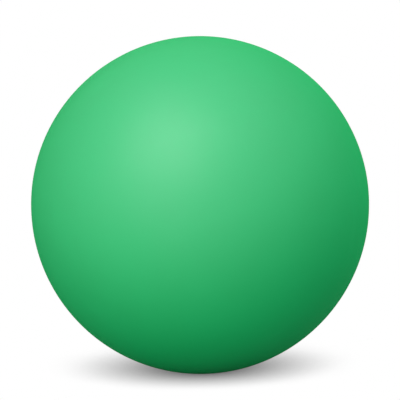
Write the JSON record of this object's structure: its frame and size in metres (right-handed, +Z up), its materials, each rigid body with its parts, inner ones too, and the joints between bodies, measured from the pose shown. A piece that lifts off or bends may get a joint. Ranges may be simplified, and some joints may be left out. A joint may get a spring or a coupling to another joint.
{
  "type": "bouncy ball",
  "caption": "Round inflated rubber bouncy ball with a smooth satin green skin, wound thread and bladder inside, and a needle valve with a pull-out core.",
  "frame": {"origin": "the centre of the ball", "axes": "+Z up from the floor that the ball stands on, -Y to the front as pictured, +Y out along the valve"},
  "size_m": [0.216, 0.216, 0.2155],
  "materials": {
    "cover_rubber": "satin",
    "winding_thread": "matte",
    "bladder_rubber": "satin",
    "patch_rubber": "matte",
    "valve_rubber": "matte",
    "core_rubber": "satin"
  },
  "bodies": {
    "ball": {"cover_front": "cover_rubber", "cover_rear": "cover_rubber", "thread_winding": "winding_thread", "bladder": "bladder_rubber", "valve_patch": "patch_rubber", "valve_housing": "valve_rubber"},
    "valve_core": {"valve_core": "core_rubber"}
  },
  "joints": [
    {"name": "core_pull", "type": "slide", "parent": "ball", "child": "valve_core", "axis": [0, 1, 0], "range_m": [0, 0.023]}
  ]
}
